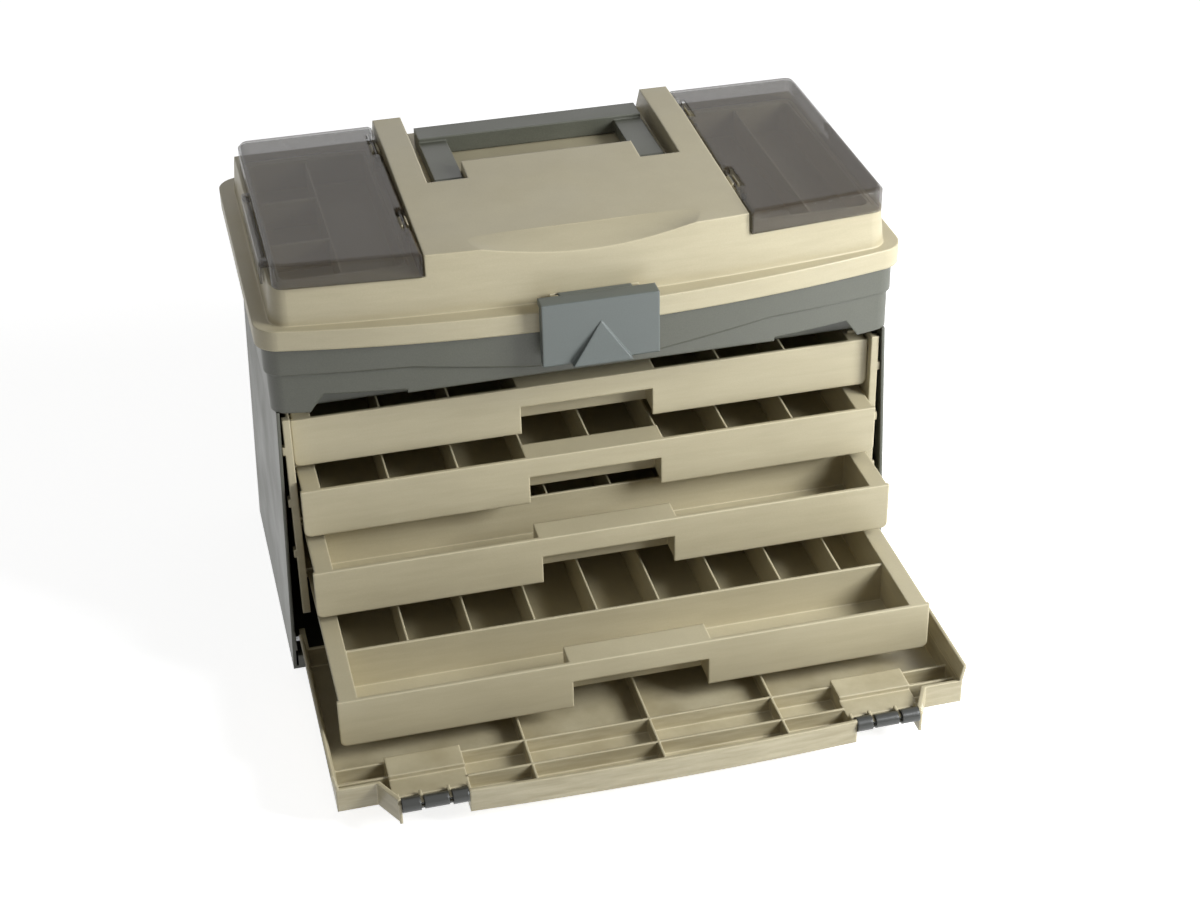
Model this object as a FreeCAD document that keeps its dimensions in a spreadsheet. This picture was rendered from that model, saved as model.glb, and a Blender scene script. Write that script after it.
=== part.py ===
import FreeCAD, Part
import math
import os
import Sketcher

# Fishing tackle cabinet: a case with four drawers, a bulk bin, a lid with two see-through covers
# and a front door that slides away under the drawers. All lengths are in millimetres.
# X runs to the right, Y to the back and Z up, from the middle of the case's footprint.

SIZES = {
    # Case
    "case_half": 251.0,
    "case_half_top": 241.5,
    "case_height": 262.0,
    "case_front": 127.0,
    "case_back": 125.0,
    "case_wall": 2.5,
    "case_corner": 14.0,
    "pin_track_half": 246.5,
    "pin_track_bottom": 18.0,
    "pin_track_top": 36.0,
    "pin_track_depth": 1.8,
    # Clearances
    "gap": 0.3,
    "pin_gap": 0.08,
    "overrun": 5.0,
    # Runner panels
    "panel_inner_half": 232.5,
    "panel_wall": 2.5,
    "panel_bottom": 52.0,
    "panel_top": 231.7,
    "panel_front": 125.0,
    "panel_back": 118.0,
    "panel_strip_half": 238.5,
    "panel_strip_depth": 6.0,
    "rail_inner_half": 219.0,
    "rail_thick": 2.5,
    "nub_high": 7.0,
    "nub_wide": 2.0,
    "nub_low": 110.0,
    "nub_pitch": 47.3,
    "sill_deep": 6.0,
    "sill_top": 12.0,
    "case_notch_front": 108.0,
    # Drawers
    "drawer_4_top": 78.0,
    "drawer_pitch": 49.5,
    "drawer_closed_front": 109.0,
    "drawer_1_out": 9.0,
    "drawer_2_out": 34.0,
    "drawer_3_out": 73.0,
    "drawer_4_out": 170.0,
    "drawer_front_half": 231.75,
    "drawer_front_high": 41.0,
    "drawer_front_wall": 3.0,
    "drawer_front_round": 5.0,
    "drawer_side_half": 218.3,
    "drawer_side_high": 38.0,
    "drawer_length": 227.0,
    "drawer_wall": 2.3,
    "drawer_floor": 2.0,
    "drawer_flange_half": 230.3,
    "drawer_flange_thick": 2.5,
    "pull_half": 53.3,
    "pull_strip_high": 17.0,
    "pull_deep": 20.0,
    "cell_pitch": 54.4,
    "drawer_3_cell_pitch": 52.5,
    "drawer_3_cell_start": 140.1,
    "drawer_4_cell_pitch": 49.8,
    "drawer_4_cell_start": 168.0,
    "divider_wall": 1.6,
    "divider_drop": 1.5,
    "trough_deep": 62.0,
    # Upper bin
    "bin_leg_bottom": 240.5,
    "bin_top": 298.1,
    "bin_inset": 4.5,
    "bin_step": 2.2,
    "bin_wall": 2.3,
    "bin_shelf": 262.3,
    "bin_tub_half": 236.5,
    "bin_tub_front": 107.0,
    "bin_tub_back": 120.0,
    "bin_tub_bottom": 232.0,
    "bin_tub_corner": 8.0,
    "bin_lip_top": 303.0,
    "bin_lip_wall": 2.0,
    "bin_notch_half": 206.0,
    "bin_leg_half": 217.0,
    "bin_notch_top": 256.0,
    "bin_arch_half": 144.0,
    "bin_arch_end": 253.0,
    "bin_arch_middle": 259.0,
    "wave_end": 273.7,
    "wave_crest": 276.3,
    "wave_crest_half": 140.0,
    "wave_trough": 266.5,
    "wave_trough_half": 50.0,
    # Lid
    "rim_half": 252.0,
    "rim_front_side": 133.0,
    "rim_front": 161.0,
    "rim_back": 138.0,
    "rim_corner": 20.0,
    "rim_bottom": 298.4,
    "rim_top": 314.7,
    "lid_wall": 2.5,
    "lid_half": 240.0,
    "lid_front": 146.4,
    "lid_front_side": 129.0,
    "lid_back": 130.0,
    "lid_back_top": 97.0,
    "lid_top": 369.0,
    "lid_draft": 5.4,
    "lid_corner": 16.0,
    "lid_deck": 345.2,
    "ridge_outer": 124.0,
    "ridge_inner": 101.0,
    "ridge_back": 40.0,
    "plateau_back": 3.0,
    "brow_low": 351.0,
    "brow_end": 361.6,
    "brow_half": 78.0,
    "brow_back": 118.0,
    "brow_back_half": 99.0,
    # Handle
    "slot_inner": 69.0,
    "slot_front": 26.0,
    "slot_floor": 348.0,
    "handle_half": 92.5,
    "handle_leg_wide": 22.5,
    "handle_pivot_front": 10.0,
    "handle_pivot_high": 354.0,
    "handle_boss": 5.5,
    "handle_grip_front": 61.8,
    "handle_grip_back": 84.5,
    "handle_grip_bottom": 349.0,
    "handle_grip_top": 363.5,
    "handle_leg_bottom": 350.5,
    "handle_leg_top": 360.0,
    "handle_pin": 4.0,
    "handle_pin_reach": 4.5,
    # Covers and their clips
    "cover_inner": 125.4,
    "cover_outer": 235.0,
    "cover_front_inner": 141.0,
    "cover_front_outer": 131.0,
    "cover_back": 97.0,
    "cover_bottom": 345.8,
    "cover_top": 365.4,
    "cover_wall": 2.2,
    "cover_corner": 9.0,
    "cover_edge_bevel": 2.8,
    "cover_axis": 129.0,
    "cover_axis_high": 360.8,
    "cover_boss": 3.4,
    "cover_boss_long": 9.0,
    "cover_pin": 1.5,
    "cover_gap_long": 36.0,
    "cover_gap_back": 57.0,
    "cover_gap_front": 79.0,
    "post_long": 14.0,
    "clip_back": 13.0,
    "clip_front": 95.0,
    "clip_axis": 238.4,
    "clip_axis_high": 352.5,
    "clip_boss": 2.8,
    "clip_pin": 1.2,
    "clip_bottom": 334.0,
    "clip_wall": 2.0,
    "clip_ear_long": 5.0,
    # Well trays
    "well_inner": 133.0,
    "well_outer": 230.0,
    "well_front": 117.0,
    "well_back": 92.0,
    "well_floor": 318.0,
    "well_wall": 2.0,
    "well_flange": 4.0,
    "well_corner": 9.0,
    "well_divider": 1.6,
    "well_split": 182.0,
    "left_well_step_back": 22.0,
    "left_well_step_front": 52.0,
    # Lid latch
    "latch_half": 45.0,
    "latch_front": 171.0,
    "latch_wall": 3.5,
    "latch_bottom": 273.7,
    "latch_top": 325.0,
    "latch_axis_front": 152.4,
    "latch_axis_high": 319.8,
    "latch_boss": 4.4,
    "latch_boss_half": 28.0,
    "latch_pin": 1.5,
    "latch_ear_wide": 6.0,
    "latch_ramp_half": 23.0,
    "latch_ramp_high": 33.0,
    "latch_ramp_out": 6.0,
    # Hinge of the lid
    "hinge_axis_back": 143.2,
    "hinge_axis_high": 294.0,
    "hinge_boss": 5.0,
    "hinge_pin": 2.0,
    "hinge_middle": 150.0,
    "hinge_lid_knuckle": 26.0,
    "hinge_bin_knuckle": 15.0,
    # Door
    "door_pivot_front": 122.7,
    "door_pivot_high": 27.0,
    "door_pin": 2.5,
    "door_skin_bottom": 16.0,
    "door_skin": 2.5,
    "door_half": 243.0,
    "door_half_top": 245.6,
    "door_back": 150.0,
    "door_corner_front": 326.0,
    "door_corner_half": 213.0,
    "door_shoulder_half": 201.0,
    "door_edge_side": 348.0,
    "door_edge": 355.0,
    "door_flange_top": 50.0,
    "door_lip_top": 36.0,
    "door_rib_top": 31.0,
    "door_wall": 2.5,
    "door_rib": 1.8,
    "door_arm_wide": 4.5,
    "door_arm_round": 7.0,
    "door_rib_pitch": 97.0,
    "door_rib_back": 300.0,
    "door_rib_front": 328.0,
    "door_side_rib": 298.0,
    "door_side_rib_gap": 16.5,
    "door_bump_inner": 146.0,
    "door_bump_outer": 203.0,
    "door_bump_front": 318.0,
    "door_bump_back": 296.0,
    "door_bump_top": 34.0,
    "door_travel": 205.0,
    # Latches of the door
    "door_latch_inner": 149.0,
    "door_latch_outer": 198.5,
    "door_latch_axis_front": 348.0,
    "door_latch_axis_high": 30.4,
    "door_latch_boss": 5.6,
    "door_latch_boss_middle": 5.1,
    "door_latch_boss_inner": 12.0,
    "door_latch_boss_outer": 13.8,
    "door_latch_rod": 1.6,
    "door_latch_nose": 3.0,
    "door_notch_back": 338.0,
    "door_latch_plate_back": 303.0,
    "door_latch_plate": 2.4,
    "door_bracket": 2.2,
}

NODES = []

doc = FreeCAD.newDocument("TackleCabinet")
sheet = doc.addObject("Spreadsheet::Sheet", "Sizes")
for row, (alias, number) in enumerate(SIZES.items(), 1):
    sheet.set(f"A{row}", alias)
    sheet.set(f"B{row}", str(number))
    sheet.setAlias(f"B{row}", alias)
doc.recompute()


class Size:
    """A length with the formula it comes from, so that it can place and also bind an object."""

    def __init__(self, number, formula):
        self.number = number
        self.formula = formula

    def __add__(self, other):
        other = as_size(other)
        return Size(self.number + other.number, f"({self.formula} + {other.formula})")

    def __radd__(self, other):
        return as_size(other) + self

    def __sub__(self, other):
        other = as_size(other)
        return Size(self.number - other.number, f"({self.formula} - {other.formula})")

    def __rsub__(self, other):
        return as_size(other) - self

    def __mul__(self, other):
        other = as_size(other)
        return Size(self.number * other.number, f"({self.formula} * {other.formula})")

    __rmul__ = __mul__

    def __truediv__(self, other):
        other = as_size(other)
        return Size(self.number / other.number, f"({self.formula} / {other.formula})")

    def __neg__(self):
        return Size(-self.number, f"(0 - {self.formula})")


def as_size(thing):
    return thing if isinstance(thing, Size) else Size(float(thing), str(thing))


def root(size):
    return Size(math.sqrt(size.number), f"sqrt({size.formula})")


class Sheet:
    """The sheet's lengths by their names."""

    def __getattr__(self, alias):
        return Size(float(sheet.get(alias)), f"{sheet.Name}.{alias}")


d = Sheet()
ZERO = as_size(0)


# Helpers for bodies, sketches and features

def body(label):
    part = doc.addObject("PartDesign::Body", label)
    part.Label = label
    part.AllowCompound = True
    NODES.append(part)
    return part


def sketch(part, plane, lift=ZERO):
    """A sketch on one of the body's own planes, lifted along that plane's normal."""
    face = next(item for item in part.Origin.OriginFeatures if item.Role == plane)
    drawing = part.newObject("Sketcher::SketchObject", part.Label + "_sketch")
    drawing.AttachmentSupport = [(face, "")]
    drawing.MapMode = "FlatFace"
    drawing.setExpression("AttachmentOffset.Base.z", lift.formula)
    return drawing


def pin(geometry, place, across, up):
    """The two constraints that hold one point of a sketch at its sizes."""
    return [(Sketcher.Constraint("DistanceX", -1, 1, geometry, place, across.number), across.formula),
            (Sketcher.Constraint("DistanceY", -1, 1, geometry, place, up.number), up.formula)]


def hold(drawing, held):
    """Add constraints to a sketch in one step, each with its formula or none."""
    first = drawing.ConstraintCount
    drawing.addConstraint([constraint for constraint, formula in held])
    for number, (constraint, formula) in enumerate(held, first):
        if formula is not None:
            drawing.setExpression(f"Constraints[{number}]", formula)


def outline(drawing, corners):
    """A closed outline. A corner is (across, up), or (across, up, rise) where the edge that ends
    there is an arc that rises by that much, to the left of the way, over its chord."""
    corners = [tuple(as_size(size) for size in corner) for corner in corners]
    first = drawing.GeometryCount
    count = len(corners)
    lines = []
    for number in range(count):
        start = corners[number - 1]
        end = corners[number]
        a = FreeCAD.Vector(start[0].number, start[1].number, 0)
        b = FreeCAD.Vector(end[0].number, end[1].number, 0)
        if len(end) == 2:
            lines.append(Part.LineSegment(a, b))
            continue
        way = b - a
        side = FreeCAD.Vector(-way.y, way.x, 0) * (end[2].number / way.Length)
        lines.append(Part.Arc(a, (a + b) * 0.5 + side, b))
    drawing.addGeometry(lines, False)
    drawn = drawing.Geometry
    held = []
    for number in range(count):
        geometry = first + number
        after = first + (number + 1) % count
        ends = 2
        starts = 1
        if is_arc(drawn[geometry]) and near(drawn[geometry].StartPoint, corners[number]):
            ends = 1
        if is_arc(drawn[after]) and not near(drawn[after].StartPoint, corners[number]):
            starts = 2
        held.append((Sketcher.Constraint("Coincident", geometry, ends, after, starts), None))
        held += pin(geometry, ends, corners[number][0], corners[number][1])
        if len(corners[number]) == 3:
            arc = (geometry, drawn[geometry].Radius)
            held.append(arc_radius(*arc, corners[number - 1], corners[number]))
    hold(drawing, held)


def is_arc(drawn):
    return isinstance(drawn, Part.ArcOfCircle)


def near(point, corner):
    return abs(point.x - corner[0].number) + abs(point.y - corner[1].number) < 1e-6


def arc_radius(geometry, number, start, end):
    """The constraint that holds an arc by its radius, from its chord and its rise."""
    rise = end[2]
    across = end[0] - start[0]
    up = end[1] - start[1]
    chord_squared = f"({across.formula})^2 + ({up.formula})^2"
    radius = f"(({chord_squared}) / 4 + ({rise.formula})^2) / (2 * abs({rise.formula}))"
    return Sketcher.Constraint("Radius", geometry, number), radius


def rectangle(drawing, low_across, high_across, low_up, high_up):
    outline(drawing, [(low_across, low_up), (high_across, low_up),
                      (high_across, high_up), (low_across, high_up)])


def circle(drawing, across, up, radius):
    centre = FreeCAD.Vector(across.number, up.number, 0)
    index = drawing.addGeometry(Part.Circle(centre, FreeCAD.Vector(0, 0, 1), radius.number), False)
    held = (Sketcher.Constraint("Radius", index, radius.number), radius.formula)
    hold(drawing, [*pin(index, 3, across, up), held])


def pad(part, drawing, length, reverse=False, draft=None):
    feature = part.newObject("PartDesign::Pad", part.Label + "_pad")
    feature.Profile = drawing
    feature.setExpression("Length", length.formula)
    feature.Reversed = reverse
    if draft is not None:
        feature.setExpression("TaperAngle", draft.formula)
    return feature


def pocket(part, drawing, length, reverse=False):
    feature = part.newObject("PartDesign::Pocket", part.Label + "_pocket")
    feature.Profile = drawing
    feature.setExpression("Length", length.formula)
    feature.Reversed = reverse
    return feature


def blocks(part, boxes, bottom, top):
    """Upright blocks of one height: each box is (low x, high x, low y, high y)."""
    drawing = sketch(part, "XY_Plane", bottom)
    for box in boxes:
        rectangle(drawing, *box)
    return pad(part, drawing, top - bottom)


def hollows(part, boxes, bottom, top):
    drawing = sketch(part, "XY_Plane", top)
    for box in boxes:
        rectangle(drawing, *box)
    return pocket(part, drawing, top - bottom)


def bars(part, boxes, front, back):
    """Blocks that run from front to back: each box is (low x, high x, low z, high z)."""
    drawing = sketch(part, "XZ_Plane", -front)
    for box in boxes:
        rectangle(drawing, *box)
    return pad(part, drawing, back - front, reverse=True)


def slots(part, boxes, front, back):
    drawing = sketch(part, "XZ_Plane", -front)
    for box in boxes:
        rectangle(drawing, *box)
    return pocket(part, drawing, back - front)


def rods(part, circles, left, right):
    """Round bars along X: each circle is (y, z, radius)."""
    drawing = sketch(part, "YZ_Plane", left)
    for item in circles:
        circle(drawing, *item)
    return pad(part, drawing, right - left)


def bores(part, circles, left, right):
    drawing = sketch(part, "YZ_Plane", right)
    for item in circles:
        circle(drawing, *item)
    return pocket(part, drawing, right - left)


def dowels(part, circles, front, back):
    """Round bars along Y: each circle is (x, z, radius)."""
    drawing = sketch(part, "XZ_Plane", -front)
    for item in circles:
        circle(drawing, *item)
    return pad(part, drawing, back - front, reverse=True)


def round_edges(part, radius, wanted):
    """Fillet the edges of the last feature that the test picks."""
    doc.recompute()
    base = part.Tip
    names = [f"Edge{number}" for number, edge in enumerate(base.Shape.Edges, 1) if wanted(edge)]
    feature = part.newObject("PartDesign::Fillet", part.Label + "_fillet")
    feature.Base = (base, names)
    feature.setExpression("Radius", radius.formula)
    return feature


def bevel_edges(part, size, wanted):
    """Bevel the edges of the last feature that the test picks."""
    doc.recompute()
    base = part.Tip
    names = [f"Edge{number}" for number, edge in enumerate(base.Shape.Edges, 1) if wanted(edge)]
    feature = part.newObject("PartDesign::Chamfer", part.Label + "_chamfer")
    feature.Base = (base, names)
    feature.setExpression("Size", size.formula)
    return feature


def shell(part, wall, open_faces):
    """Hollow the last feature inwards, leaving out the faces that the test picks."""
    doc.recompute()
    base = part.Tip
    names = [f"Face{number}" for number, face in enumerate(base.Shape.Faces, 1) if open_faces(face)]
    feature = part.newObject("PartDesign::Thickness", part.Label + "_shell")
    feature.Base = (base, names)
    feature.setExpression("Value", wall.formula)
    feature.Reversed = True
    feature.Join = 1
    return feature


def upright(edge):
    """True for an edge that runs mostly up and down."""
    low = edge.BoundBox
    return low.ZLength > 2 * max(low.XLength, low.YLength)


def bow(half, side, middle, back, corner):
    """A plan outline with rounded corners and a front bowed from side to middle."""
    sag = middle - side
    radius = (half * half + sag * sag) / (2 * sag)
    centre = radius - middle
    inner = radius - corner
    corner_across = half - corner
    corner_back = root(inner * inner - corner_across * corner_across)
    touch_across = corner_across * radius / inner
    touch_up = centre - corner_back * radius / inner
    side_up = centre - corner_back
    chord_squared = (half - touch_across) * (half - touch_across)
    chord_squared = chord_squared + (side_up - touch_up) * (side_up - touch_up)
    front_rise = corner - root(corner * corner - chord_squared / 4)
    bow_rise = radius - root(radius * radius - touch_across * touch_across)
    back_rise = corner * (1 - math.sqrt(0.5))
    return [
        (half - corner, back, -back_rise),
        (corner - half, back),
        (-half, back - corner, -back_rise),
        (-half, side_up),
        (-touch_across, touch_up, -front_rise),
        (touch_across, touch_up, -bow_rise),
        (half, side_up, -front_rise),
        (half, back - corner),
    ]


def rounded_box(low_x, high_x, low_y, high_y, corner):
    """A plan rectangle with rounded corners."""
    rise = -corner * (1 - math.sqrt(0.5))
    return [
        (low_x + corner, low_y, rise),
        (high_x - corner, low_y),
        (high_x, low_y + corner, rise),
        (high_x, high_y - corner),
        (high_x - corner, high_y, rise),
        (low_x + corner, high_y),
        (low_x, high_y - corner, rise),
        (low_x, low_y + corner),
    ]


def cut_corners(plan):
    """The same plan with its short corner arcs cut straight, for hollows that stay out of sight."""
    return [corner if abs(as_size(corner[0] - plan[number - 1][0]).number) > d.rim_half.number
            else corner[:2] for number, corner in enumerate(plan)]


def plate(part, corners, bottom, top, draft=None):
    """An upright plate from one plan outline, or from several."""
    drawing = sketch(part, "XY_Plane", bottom)
    for loop in corners if isinstance(corners[0], list) else [corners]:
        outline(drawing, loop)
    return pad(part, drawing, top - bottom, draft=draft)


def well(part, corners, bottom, top):
    """A hollow of one plan outline, cut down from its top."""
    drawing = sketch(part, "XY_Plane", top)
    outline(drawing, corners)
    return pocket(part, drawing, top - bottom)


def mirrored(low, high):
    """A stretch of X on the right and the same one on the left."""
    return [(low, high), (-high, -low)]


def both_sides(low, high, *rest):
    return [(start, end, *rest) for start, end in mirrored(low, high)]


# Sub-parts

def case_shell():
    part = body("case_shell")
    drawing = sketch(part, "XZ_Plane", d.case_front)
    outline(drawing, [(-d.case_half, ZERO), (d.case_half, ZERO),
                      (d.case_half_top, d.case_height), (-d.case_half_top, d.case_height)])
    pad(part, drawing, d.case_front + d.case_back, reverse=True)
    round_edges(part, d.case_corner, lambda edge: upright(edge) and edge.BoundBox.YMin > 0)
    shell(part, d.case_wall, front_or_top)
    back = d.case_back - d.case_wall
    track_end = d.pin_track_half + d.pin_track_depth
    bars(part, both_sides(d.pin_track_half, track_end, d.pin_track_bottom, d.pin_track_top),
         -d.case_front, back - d.case_corner)
    reach = d.door_pin + d.gap
    slots(part, both_sides(d.pin_track_half, track_end,
                           d.door_pivot_high - reach, d.door_pivot_high + reach),
          -d.door_pivot_front - reach, d.door_travel - d.door_pivot_front + reach)
    blocks(part, [(-d.pin_track_half, d.pin_track_half, -d.case_front, d.sill_deep - d.case_front)],
           d.case_wall, d.sill_top)
    hollows(part, both_sides(d.panel_strip_half, d.case_half,
                             -d.case_front - d.overrun, -d.case_notch_front),
            d.bin_leg_bottom - d.gap, d.case_height + d.overrun)


def front_or_top(face):
    box = face.BoundBox
    front = box.YMax < -d.case_front.number + d.overrun.number
    return front or box.ZMin > d.case_height.number - d.overrun.number


def runner_panel(label, side):
    """One inner side wall, with a pair of rails for each drawer."""
    part = body(label)
    boxes = [(d.panel_inner_half, d.panel_inner_half + d.panel_wall, -d.panel_front, d.panel_back),
             (d.panel_inner_half, d.panel_strip_half, -d.panel_front, d.panel_strip_depth - d.panel_front)]
    for box in boxes:
        blocks(part, [sided(box, side)], d.panel_bottom, d.panel_top)
    rail_front = d.drawer_front_wall + d.gap - d.drawer_closed_front
    rails = []
    for number in DRAWERS:
        top = drawer_top(number)
        under = top - d.drawer_flange_thick - d.gap
        over = top + d.gap
        for low, high in ((under - d.rail_thick, under), (over, over + d.rail_thick)):
            rails.append(sided((d.rail_inner_half, d.panel_inner_half, low, high), side))
    bars(part, rails, rail_front, d.panel_back)
    nubs = []
    for number in range(3):
        middle = d.nub_low + d.nub_pitch * number
        box = (d.panel_strip_half, d.panel_strip_half + d.nub_wide,
               middle - d.nub_high / 2, middle + d.nub_high / 2)
        nubs.append(sided(box, side))
    bars(part, nubs, -d.panel_front, d.panel_strip_depth - d.panel_front)


def sided(box, side):
    """The same box on the right or, mirrored, on the left."""
    return box if side > 0 else (-box[1], -box[0], *box[2:])


DRAWERS = (1, 2, 3, 4)


def drawer_top(number):
    return d.drawer_4_top + d.drawer_pitch * (4 - number)


def drawer_out(number):
    return (d.drawer_1_out, d.drawer_2_out, d.drawer_3_out, d.drawer_4_out)[number - 1]


def place_drawer(part, number):
    part.setExpression(".Placement.Base.y", (-d.drawer_closed_front - drawer_out(number)).formula)
    part.setExpression(".Placement.Base.z", drawer_top(number).formula)


def drawer_tray(number):
    """A tray drawn with its front face at zero and its top edge at zero."""
    part = body(f"drawer_{number}_tray")
    half = d.drawer_front_half
    low = -d.drawer_front_high
    rise = d.drawer_front_round * (1 - math.sqrt(0.5))
    drawing = sketch(part, "XZ_Plane")
    outline(drawing, [
        (half, ZERO), (-half, ZERO),
        (-half, low + d.drawer_front_round),
        (d.drawer_front_round - half, low, -rise),
        (-d.pull_half, low), (-d.pull_half, -d.pull_strip_high),
        (d.pull_half, -d.pull_strip_high), (d.pull_half, low),
        (half - d.drawer_front_round, low),
        (half, low + d.drawer_front_round, -rise),
    ])
    pad(part, drawing, d.drawer_front_wall, reverse=True)
    side = d.drawer_side_half
    bottom = -d.drawer_side_high
    front = d.drawer_front_wall
    blocks(part, [(-side, side, front, d.drawer_length)], bottom, ZERO)
    inner = side - d.drawer_wall
    floor = bottom + d.drawer_floor
    hollows(part, [(-inner, inner, front, d.drawer_length - d.drawer_wall)], floor, ZERO)
    pull_back = d.pull_deep + d.drawer_wall
    pull_side = d.pull_half + d.drawer_wall
    blocks(part, [(-pull_side, pull_side, front, pull_back)], bottom, ZERO)
    hollows(part, [(-d.pull_half, d.pull_half, front, d.pull_deep)],
            bottom - d.overrun, -d.drawer_wall)
    blocks(part, both_sides(side, d.drawer_flange_half, front, d.drawer_length),
           -d.drawer_flange_thick, ZERO)
    if number > 2:
        back = d.trough_deep + d.drawer_wall
        blocks(part, [(-inner, inner, d.trough_deep, back)], floor, -d.divider_drop)
    place_drawer(part, number)


def divider_middles(number):
    """Where the upright walls of one drawer stand, from its left to its right."""
    if number < 3:
        return [d.cell_pitch * place for place in range(-3, 4)]
    if number == 3:
        return [d.drawer_3_cell_pitch * place - d.drawer_3_cell_start for place in range(7)]
    return [d.drawer_4_cell_pitch * place - d.drawer_4_cell_start for place in range(8)]


def drawer_dividers(number):
    """The upright walls that part a drawer into its cells."""
    part = body(f"drawer_{number}_dividers")
    boxes = []
    for middle in divider_middles(number):
        start = d.drawer_front_wall
        if abs(middle.number) < 2 * d.drawer_wall.number + d.pull_half.number:
            start = d.pull_deep + d.drawer_wall
        if number > 2:
            start = d.trough_deep + d.drawer_wall
        boxes.append((middle - d.divider_wall / 2, middle + d.divider_wall / 2,
                      start + d.gap, d.drawer_length - d.drawer_wall - d.gap))
    blocks(part, boxes, d.drawer_floor - d.drawer_side_high, -d.divider_drop)
    place_drawer(part, number)


def upper_bin():
    part = body("upper_bin")
    upper = inset_bow(d.bin_inset)
    lower = inset_bow(d.bin_inset + d.bin_step)
    inner = cut_corners(inset_bow(d.bin_inset + d.bin_step + d.bin_wall))
    plate(part, upper, d.wave_trough - d.overrun, d.bin_top)
    cut_wave(part)
    plate(part, lower, d.bin_leg_bottom, d.bin_top)
    well(part, inner, d.bin_leg_bottom - d.overrun, d.bin_shelf)
    well(part, inner, d.bin_shelf + d.bin_wall, d.bin_top)
    tub = (-d.bin_tub_half, d.bin_tub_half, -d.bin_tub_front, d.bin_tub_back)
    plate(part, rounded_box(*tub, d.bin_tub_corner), d.bin_tub_bottom, d.bin_shelf)
    wall = d.bin_wall
    inside = (tub[0] + wall, tub[1] - wall, tub[2] + wall, tub[3] - wall)
    well(part, rounded_box(*inside, d.bin_tub_corner - wall), d.bin_tub_bottom + wall,
         d.bin_shelf + wall)
    cut_band_foot(part)
    lip = cut_corners(inset_bow(d.bin_inset + d.bin_step + d.bin_wall + d.bin_lip_wall))
    plate(part, [inner, lip], d.bin_shelf + wall, d.bin_lip_top)
    start = d.hinge_middle + d.hinge_lid_knuckle / 2 + d.gap
    knuckles(part, [(start, start + d.hinge_bin_knuckle)],
             d.hinge_axis_back, d.hinge_axis_high, d.hinge_boss,
             (d.rim_back - d.bin_inset - d.bin_wall, d.hinge_axis_high - d.hinge_boss,
              d.hinge_axis_high))


def knuckles(part, stretches, axis_back, axis_high, boss, web):
    """Hinge knuckles along X, each with a web back to the wall that carries it, and their bore."""
    for low, high in stretches:
        for start, end in mirrored(low, high):
            rods(part, [(axis_back, axis_high, boss)], start, end)
            blocks(part, [(start, end, web[0], axis_back)], web[1], web[2])
            bores(part, [(axis_back, axis_high, d.hinge_pin + d.pin_gap)], start, end)


def inset_bow(inset):
    return bow(d.rim_half - inset, d.rim_front_side - inset, d.rim_front - inset,
               d.rim_back - inset, d.rim_corner - inset)


def cut_wave(part):
    """Cut the proud upper band off below its wavy edge."""
    half = d.rim_half + d.overrun
    low = d.wave_trough - 2 * d.overrun
    drawing = sketch(part, "XZ_Plane", d.rim_front + d.overrun)
    outline(drawing, [
        (-half, low), (half, low), (half, d.wave_end),
        (d.wave_crest_half, d.wave_crest), (d.wave_trough_half, d.wave_trough),
        (-d.wave_trough_half, d.wave_trough), (-d.wave_crest_half, d.wave_crest),
        (-half, d.wave_end),
    ])
    pocket(part, drawing, d.rim_front + d.rim_back + 2 * d.overrun)


def cut_band_foot(part):
    """Shape the lower edge of the band at the front, between its corner legs."""
    low = d.bin_leg_bottom - d.overrun
    drawing = sketch(part, "XZ_Plane", d.rim_front + d.overrun)
    outline(drawing, [
        (-d.bin_leg_half, low), (d.bin_leg_half, low), (d.bin_leg_half, d.bin_leg_bottom),
        (d.bin_notch_half, d.bin_notch_top), (d.bin_arch_half, d.bin_notch_top),
        (d.bin_arch_half, d.bin_arch_end),
        (-d.bin_arch_half, d.bin_arch_end, -(d.bin_arch_middle - d.bin_arch_end)),
        (-d.bin_arch_half, d.bin_notch_top), (-d.bin_notch_half, d.bin_notch_top),
        (-d.bin_leg_half, d.bin_leg_bottom),
    ])
    pocket(part, drawing, d.rim_front + d.overrun - d.bin_tub_front - d.gap)


def lid_shell():
    part = body("lid_shell")
    plate(part, inset_bow(ZERO), d.rim_bottom, d.rim_top)
    plate(part, lid_bow(ZERO), d.rim_top, d.lid_top, draft=-d.lid_draft)
    slope_back(part)
    deck_back = d.rim_back + d.overrun
    hollows(part, both_sides(d.ridge_outer, d.rim_half, -d.rim_front, deck_back),
            d.lid_deck, d.lid_top + d.overrun)
    cut_brow(part)
    cut_handle_well(part)
    hollow_lid(part)
    well_gap = d.gap
    hollows(part, both_sides(d.well_inner - well_gap, d.well_outer + well_gap,
                             -d.well_front - well_gap, d.well_back + well_gap),
            d.lid_deck - 2 * d.lid_wall, d.lid_deck + d.overrun)
    cover_posts(part)
    latch_ears(part)
    for start, end in mirrored(d.ridge_inner - d.gap, d.ridge_inner + d.handle_pin_reach + d.gap):
        bores(part, [(-d.handle_pivot_front, d.handle_pivot_high, d.handle_pin + d.pin_gap)], start, end)
    reach = d.hinge_lid_knuckle / 2
    knuckles(part, [(d.hinge_middle - reach, d.hinge_middle + reach)],
             d.hinge_axis_back, d.hinge_axis_high, d.hinge_boss,
             (d.rim_back - d.lid_wall, d.hinge_axis_high, d.rim_top - d.overrun))


def lid_bow(inset):
    return bow(d.lid_half - inset, d.lid_front_side - inset, d.lid_front - inset,
               d.lid_back - inset, d.lid_corner - inset)


def slope_at(high):
    """How far back the sloping back of the lid is at one height."""
    run = (d.lid_back - d.lid_back_top) / (d.lid_top - d.rim_top)
    return d.lid_back_top + (d.lid_top - high) * run


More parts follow.
